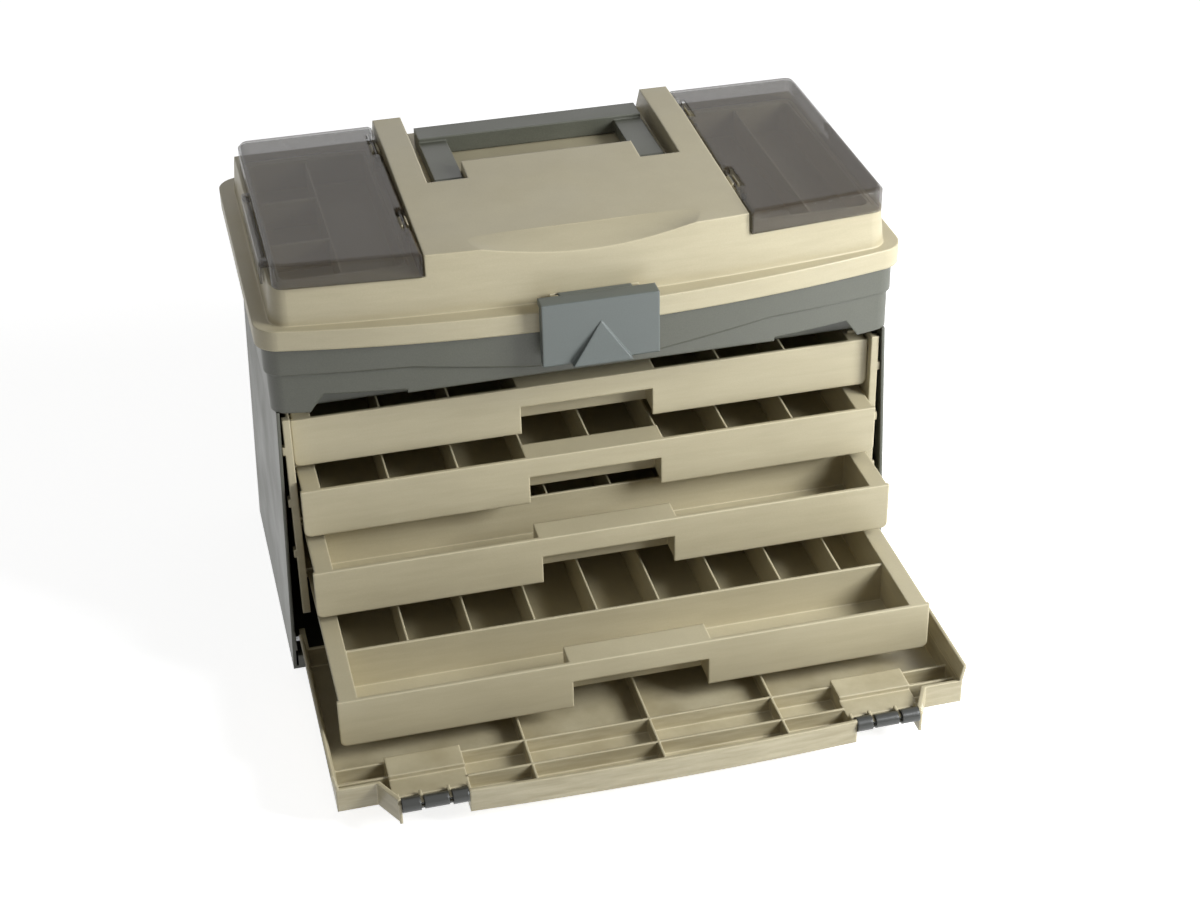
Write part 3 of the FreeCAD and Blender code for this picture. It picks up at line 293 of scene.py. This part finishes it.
def smoked_styrene(name, colour):
    """Injection-moulded clear styrene tinted smoke brown.

    The eye gets a glossy, slightly blurred reflection on a dark see-through sheet, darker
    where the light crosses more of it, with a faint ripple from the mould.
    """
    finish = bpy.context.scene.tackle_cabinet_finish
    material, tree, shader = start_material(name)
    place = add(tree, "ShaderNodeTexCoord").outputs["Object"]
    shader.inputs["IOR"].default_value = STYRENE_IOR
    shader.inputs["Roughness"].default_value = 0.15
    shader.inputs["Specular IOR Level"].default_value = 0.75
    ripple = add(
        tree,
        "ShaderNodeTexNoise",
        {"Scale": per_metre(SHEET_RIPPLE), "Detail": 1},
        {"Vector": place},
    )
    edge = add(tree, "ShaderNodeBevel", {"samples": EDGE_SAMPLES, "Radius": finish.edge})
    bump = add(
        tree,
        "ShaderNodeBump",
        {"Strength": 0.1, "Distance": RIPPLE_DEPTH * MILLIMETRE},
        {"Height": ripple.outputs["Fac"], "Normal": edge.outputs[0]},
    )
    tree.links.new(bump.outputs[0], shader.inputs["Normal"])
    tint = add(
        tree,
        "ShaderNodeMix",
        {"data_type": "RGBA", MIX_A: shaded(colour, 0.92), MIX_B: shaded(colour, 1.08)},
        {"Factor": ripple.outputs["Fac"]},
    )
    tree.links.new(tint.outputs[MIX_RESULT], shader.inputs["Base Color"])
    slant = add(tree, "ShaderNodeLayerWeight", {"Blend": 0.35})
    density = add(
        tree,
        "ShaderNodeMapRange",
        {"From Min": 0.0, "From Max": 1.0, "To Min": 0.26, "To Max": 0.78},
        {"Value": slant.outputs["Facing"]},
    )
    tree.links.new(density.outputs[0], shader.inputs["Alpha"])
    return material


def plated_steel(name, colour):
    """Drawn steel wire, bright zinc plated: cool grey metal with a fine, uneven lustre."""
    material, tree, shader = start_material(name)
    place = add(tree, "ShaderNodeTexCoord").outputs["Object"]
    shader.inputs["Metallic"].default_value = 1.0
    lustre = add(
        tree,
        "ShaderNodeTexNoise",
        {"Scale": per_metre(PLATING_LUSTRE), "Detail": 3},
        {"Vector": place},
    )
    tone = add(
        tree,
        "ShaderNodeMix",
        {"data_type": "RGBA", MIX_A: shaded(colour, 0.85), MIX_B: colour},
        {"Factor": lustre.outputs["Fac"]},
    )
    tree.links.new(tone.outputs[MIX_RESULT], shader.inputs["Base Color"])
    rough = add(
        tree,
        "ShaderNodeMapRange",
        {"To Min": 0.26, "To Max": 0.42},
        {"Value": lustre.outputs["Fac"]},
    )
    tree.links.new(rough.outputs[0], shader.inputs["Roughness"])
    return material


def dress(material, *nodes):
    """Puts one material on CAD nodes."""
    for name in nodes:
        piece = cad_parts[name]
        piece.data.materials.clear()
        piece.data.materials.append(material)


def finish_named(name, make, swatch, **look):
    """The material of that name, made on its first use in that swatch's colour."""
    colour = getattr(bpy.context.scene.tackle_cabinet_colours, swatch)
    return bpy.data.materials.get(name) or make(name, colour, **look)


# Settings

class CabinetColours(bpy.types.PropertyGroup):
    """The colours of the cabinet's plastics and metal, and of the studio floor."""

    sandstone: colour_property("Sandstone", "Drawers, lid and front door", "#BCB294")
    charcoal: colour_property("Charcoal", "Case, bin and carrying handle", "#55564B")
    slate: colour_property("Slate", "Lid latch", "#5F6562")
    black: colour_property("Black", "Door latches", "#2C2D29")
    smoke: colour_property("Smoke", "Lid covers and their clips", "#38290F")
    steel: colour_property("Steel", "Hinge pins", "#B9BBBD")
    floor: colour_property("Floor", "Studio floor", "#F4F4F2")


class CabinetFinish(bpy.types.PropertyGroup):
    """The sizes of the moulded finish."""

    grain: length_property("Grain", "Distance between specks of the tool texture", 0.9)
    grain_depth: length_property("Grain depth", "How deep the tool texture reads", 0.12)
    edge: length_property("Edge", "Radius that light finds on moulded edges", 2.0)


class CabinetStudio(bpy.types.PropertyGroup):
    """Where the camera and the lamps stand, and how strong the studio's light is."""

    camera_place: place_property(
        "Camera place", "Where the camera stands", (-0.33567, -1.56638, 1.10187)
    )
    azimuth: angle_property("Azimuth", "Turn of the camera's view from straight ahead", 13.407)
    elevation: angle_property("Elevation", "How far the camera looks down", 32.330)
    roll: angle_property("Roll", "Turn of the camera about its own view", -1.224)
    lens: FloatProperty(
        name="Lens", description="Focal length in millimetres", unit="CAMERA", default=66.32
    )
    key_place: place_property("Key place", "Where the main lamp hangs", (1.0, -0.85, 0.85))
    key_width: length_property("Key width", "Side of the main lamp", 600)
    key_power: power_property("Key power", "Power of the main lamp", 27)
    fill_place: place_property("Fill place", "Where the side lamp hangs", (-1.1, -0.9, 1.5))
    fill_width: length_property("Fill width", "Side of the side lamp", 1200)
    fill_power: power_property("Fill power", "Power of the side lamp", 1)
    sky: FloatProperty(
        name="Sky", description="Strength of the light from all round", default=0.16
    )


# Finishes of this cabinet

def sandstone():
    """The even finish of the drawers, the lid, the wells and the runner panels."""
    return finish_named(
        "sandstone_polypropylene_moulded",
        moulded_polypropylene,
        "sandstone",
        roughness=0.42,
        streaks=0.25,
        mottle=0.14,
        wear=0.8,
    )


def sandstone_streaked_and_shaded():
    """The door's own sandstone, whose long flow through a thin skin leaves stronger streaks;
    their heavier darkening also paints in the shade that falls on the door below the drawers.
    """
    return finish_named(
        "sandstone_polypropylene_streaked",
        moulded_polypropylene,
        "sandstone",
        roughness=0.36,
        # Heavy streaks: real flow streaks, darkened further as painted shade.
        streaks=0.9,
        mottle=0.14,
        wear=0.8,
    )


def charcoal():
    """The mottled dark grey of the case, the bin and the carrying handle."""
    return finish_named(
        "charcoal_polypropylene_moulded",
        moulded_polypropylene,
        "charcoal",
        roughness=0.4,
        streaks=0.08,
        mottle=0.4,
        wear=0.7,
    )


def black():
    """The smoother near-black of the door latches."""
    return finish_named(
        "black_polypropylene_moulded",
        moulded_polypropylene,
        "black",
        roughness=0.3,
        streaks=0.0,
        mottle=0.15,
        wear=0.6,
    )


def slate():
    """The satin blue grey of the lid latch."""
    return finish_named(
        "slate_polypropylene_moulded",
        moulded_polypropylene,
        "slate",
        roughness=0.36,
        streaks=0.05,
        mottle=0.2,
        wear=0.45,
    )


def smoke():
    """The brown see-through sheet of the lid's covers and their clips."""
    return finish_named("smoked_styrene_moulded", smoked_styrene, "smoke")


def steel():
    """The bright wire of the hinge pins."""
    return finish_named("zinc_plated_steel_drawn", plated_steel, "steel")


# Pieces

class FinishCase(bpy.types.Operator):
    """Finishes the case and the runner panels inside it"""

    bl_idname = "tackle_cabinet.finish_case"
    bl_label = "Finish case"

    def execute(self, context):
        dress(charcoal(), "case_shell")
        dress(sandstone(), "runner_panel_left", "runner_panel_right")
        return {"FINISHED"}


class FinishBin(bpy.types.Operator):
    """Finishes the bulk bin and its hinge pins"""

    bl_idname = "tackle_cabinet.finish_bin"
    bl_label = "Finish bin"

    def execute(self, context):
        dress(charcoal(), "upper_bin")
        dress(steel(), "lid_hinge_pins")
        return {"FINISHED"}


class FinishLid(bpy.types.Operator):
    """Finishes the lid and its two wells"""

    bl_idname = "tackle_cabinet.finish_lid"
    bl_label = "Finish lid"

    def execute(self, context):
        dress(sandstone(), "lid_shell")
        dress(sandstone(), "left_well_tray", "left_well_dividers")
        dress(sandstone(), "right_well_tray", "right_well_divider")
        return {"FINISHED"}


class FinishCovers(bpy.types.Operator):
    """Finishes the two smoked covers and their clips"""

    bl_idname = "tackle_cabinet.finish_covers"
    bl_label = "Finish covers"

    def execute(self, context):
        dress(smoke(), "left_cover", "right_cover", "left_cover_clip", "right_cover_clip")
        return {"FINISHED"}


class FinishHandle(bpy.types.Operator):
    """Finishes the carrying handle"""

    bl_idname = "tackle_cabinet.finish_handle"
    bl_label = "Finish handle"

    def execute(self, context):
        dress(charcoal(), "carry_handle")
        return {"FINISHED"}


class FinishLidLatch(bpy.types.Operator):
    """Finishes the lid's front latch"""

    bl_idname = "tackle_cabinet.finish_lid_latch"
    bl_label = "Finish lid latch"

    def execute(self, context):
        dress(slate(), "lid_latch")
        return {"FINISHED"}


class FinishDrawers(bpy.types.Operator):
    """Finishes the four drawers and their dividers"""

    bl_idname = "tackle_cabinet.finish_drawers"
    bl_label = "Finish drawers"

    def execute(self, context):
        for number in DRAWERS:
            dress(sandstone(), f"drawer_{number}_tray", f"drawer_{number}_dividers")
        return {"FINISHED"}


class FinishDoor(bpy.types.Operator):
    """Finishes the front door, its latches and its pivots"""

    bl_idname = "tackle_cabinet.finish_door"
    bl_label = "Finish door"

    def execute(self, context):
        # The door's stronger, darker streaks are partly painted shade for its place below the
        # drawers.
        dress(sandstone_streaked_and_shaded(), "door_panel", "door_flange_left", "door_flange_right")
        dress(black(), "door_latch_left", "door_latch_right")
        dress(steel(), "door_pivot_pins")
        return {"FINISHED"}


class SetStage(bpy.types.Operator):
    """Lays the floor, hangs the lamps and stands the camera where the photograph was taken"""

    bl_idname = "tackle_cabinet.set_stage"
    bl_label = "Set stage"

    def execute(self, context):
        scene = context.scene
        studio = scene.tackle_cabinet_studio
        lay_floor(scene.tackle_cabinet_colours.floor)
        hang_lamp("key_lamp", studio.key_place, studio.key_width, studio.key_power)
        hang_lamp("fill_lamp", studio.fill_place, studio.fill_width, studio.fill_power)
        light_sky(scene, studio.sky)
        stand_camera(scene, studio)
        scene.view_settings.view_transform = "Standard"
        return {"FINISHED"}


def lay_floor(colour):
    """A pale floor far larger than the view, a hair below the cabinet's base.

    It is matt paper, which gives the eye no gloss and only the faintest cloud in its white.
    """
    low = cad_box[0][2] - FLOOR_DROP * MILLIMETRE
    ways = ((-1, -1), (1, -1), (1, 1), (-1, 1))
    corners = [(x * FLOOR_HALF, y * FLOOR_HALF, low) for x, y in ways]
    mesh = bpy.data.meshes.new("studio_floor")
    mesh.from_pydata(corners, [], [(0, 1, 2, 3)])
    floor = bpy.data.objects.new("studio_floor", mesh)
    bpy.context.scene.collection.objects.link(floor)
    material, tree, shader = start_material("floor_paper_matt")
    shader.inputs["Roughness"].default_value = 0.9
    place = add(tree, "ShaderNodeTexCoord").outputs["Object"]
    cloud = add(
        tree,
        "ShaderNodeTexNoise",
        {"Scale": per_metre(PAPER_CLOUD), "Detail": 2},
        {"Vector": place},
    )
    tone = add(
        tree,
        "ShaderNodeMix",
        {"data_type": "RGBA", MIX_A: shaded(colour, 0.99), MIX_B: colour},
        {"Factor": cloud.outputs["Fac"]},
    )
    tree.links.new(tone.outputs[MIX_RESULT], shader.inputs["Base Color"])
    glow = add(
        tree,
        "ShaderNodeMath",
        {"operation": "MULTIPLY", 1: FLOOR_GLOW},
        {0: seen_rays(tree)},
    )
    shader.inputs["Emission Color"].default_value = (1, 1, 1, 1)
    tree.links.new(glow.outputs[0], shader.inputs["Emission Strength"])
    mesh.materials.append(material)


def seen_rays(tree):
    """One for the rays that show the background: from the camera, or by gloss or glass."""
    rays = add(tree, "ShaderNodeLightPath")
    straight = add(
        tree,
        "ShaderNodeMath",
        {"operation": "MAXIMUM"},
        {0: rays.outputs["Is Camera Ray"], 1: rays.outputs["Is Glossy Ray"]},
    )
    both = add(
        tree,
        "ShaderNodeMath",
        {"operation": "MAXIMUM"},
        {0: straight.outputs[0], 1: rays.outputs["Is Transmission Ray"]},
    )
    return both.outputs[0]


def hang_lamp(name, place, width, power):
    """A square soft lamp that faces the middle of the cabinet."""
    lamp = bpy.data.lights.new(name, "AREA")
    lamp.shape = "SQUARE"
    lamp.size = width
    lamp.energy = power
    lamp.color = linear(LAMP_WHITE)[:3]
    holder = bpy.data.objects.new(name, lamp)
    bpy.context.scene.collection.objects.link(holder)
    holder.location = place
    middle = (Vector(cad_box[0]) + Vector(cad_box[1])) / 2
    holder.rotation_euler = (middle - Vector(place)).to_track_quat("-Z", "Y").to_euler()


def light_sky(scene, strength):
    """An even sky that lights from all round and shows white behind the cabinet."""
    world = bpy.data.worlds.new("studio_sky")
    world.use_nodes = True
    tree = world.node_tree
    tree.nodes.clear()
    level = add(
        tree,
        "ShaderNodeMapRange",
        {"To Min": strength, "To Max": 1.0},
        {"Value": seen_rays(tree)},
    )
    sky = add(tree, "ShaderNodeBackground", links={"Strength": level.outputs[0]})
    output = tree.nodes.new("ShaderNodeOutputWorld")
    tree.links.new(sky.outputs[0], output.inputs["Surface"])
    sky.inputs["Color"].default_value = (1, 1, 1, 1)
    scene.world = world


def stand_camera(scene, studio):
    """A camera that looks the way the photograph was taken, with no shift."""
    turn, tip, roll = studio.azimuth, studio.elevation, studio.roll
    flat = math.cos(tip)
    ahead = Vector((math.sin(turn) * flat, math.cos(turn) * flat, -math.sin(tip)))
    level = ahead.cross(Vector((0, 0, 1))).normalized()
    above = level.cross(ahead)
    right = math.cos(roll) * level + math.sin(roll) * above
    up = math.cos(roll) * above - math.sin(roll) * level
    facing = Matrix((right, up, -ahead)).transposed().to_4x4()
    lens = bpy.data.cameras.new("photo_camera")
    lens.sensor_width = SENSOR_WIDTH
    lens.lens = studio.lens
    camera = bpy.data.objects.new("photo_camera", lens)
    scene.collection.objects.link(camera)
    camera.matrix_world = Matrix.Translation(studio.camera_place) @ facing
    scene.camera = camera


class CabinetPanel(bpy.types.Panel):
    """Lists the cabinet's finishes and its studio"""

    bl_idname = "VIEW3D_PT_tackle_cabinet"
    bl_label = "Tackle cabinet"
    bl_space_type = "VIEW_3D"
    bl_region_type = "UI"
    bl_category = "Tackle cabinet"

    def draw(self, context):
        layout = self.layout
        for operator in PIECES:
            layout.operator(operator.bl_idname)
        for group in (
            context.scene.tackle_cabinet_colours,
            context.scene.tackle_cabinet_finish,
            context.scene.tackle_cabinet_studio,
        ):
            box = layout.box()
            for name in group.bl_rna.properties.keys():
                if name not in ("rna_type", "name"):
                    box.prop(group, name)


SETTINGS = (CabinetColours, CabinetFinish, CabinetStudio)
PIECES = (
    FinishCase,
    FinishBin,
    FinishLid,
    FinishCovers,
    FinishHandle,
    FinishLidLatch,
    FinishDrawers,
    FinishDoor,
    SetStage,
)


def register():
    for each in (*SETTINGS, *PIECES, CabinetPanel):
        bpy.utils.register_class(each)
    bpy.types.Scene.tackle_cabinet_colours = PointerProperty(type=CabinetColours)
    bpy.types.Scene.tackle_cabinet_finish = PointerProperty(type=CabinetFinish)
    bpy.types.Scene.tackle_cabinet_studio = PointerProperty(type=CabinetStudio)


def unregister():
    del bpy.types.Scene.tackle_cabinet_studio
    del bpy.types.Scene.tackle_cabinet_finish
    del bpy.types.Scene.tackle_cabinet_colours
    for each in reversed((*SETTINGS, *PIECES, CabinetPanel)):
        bpy.utils.unregister_class(each)


def main():
    register()
    bpy.ops.tackle_cabinet.finish_case()
    bpy.ops.tackle_cabinet.finish_bin()
    bpy.ops.tackle_cabinet.finish_lid()
    bpy.ops.tackle_cabinet.finish_covers()
    bpy.ops.tackle_cabinet.finish_handle()
    bpy.ops.tackle_cabinet.finish_lid_latch()
    bpy.ops.tackle_cabinet.finish_drawers()
    bpy.ops.tackle_cabinet.finish_door()
    bpy.ops.tackle_cabinet.set_stage()


if __name__ == "__main__":
    main()
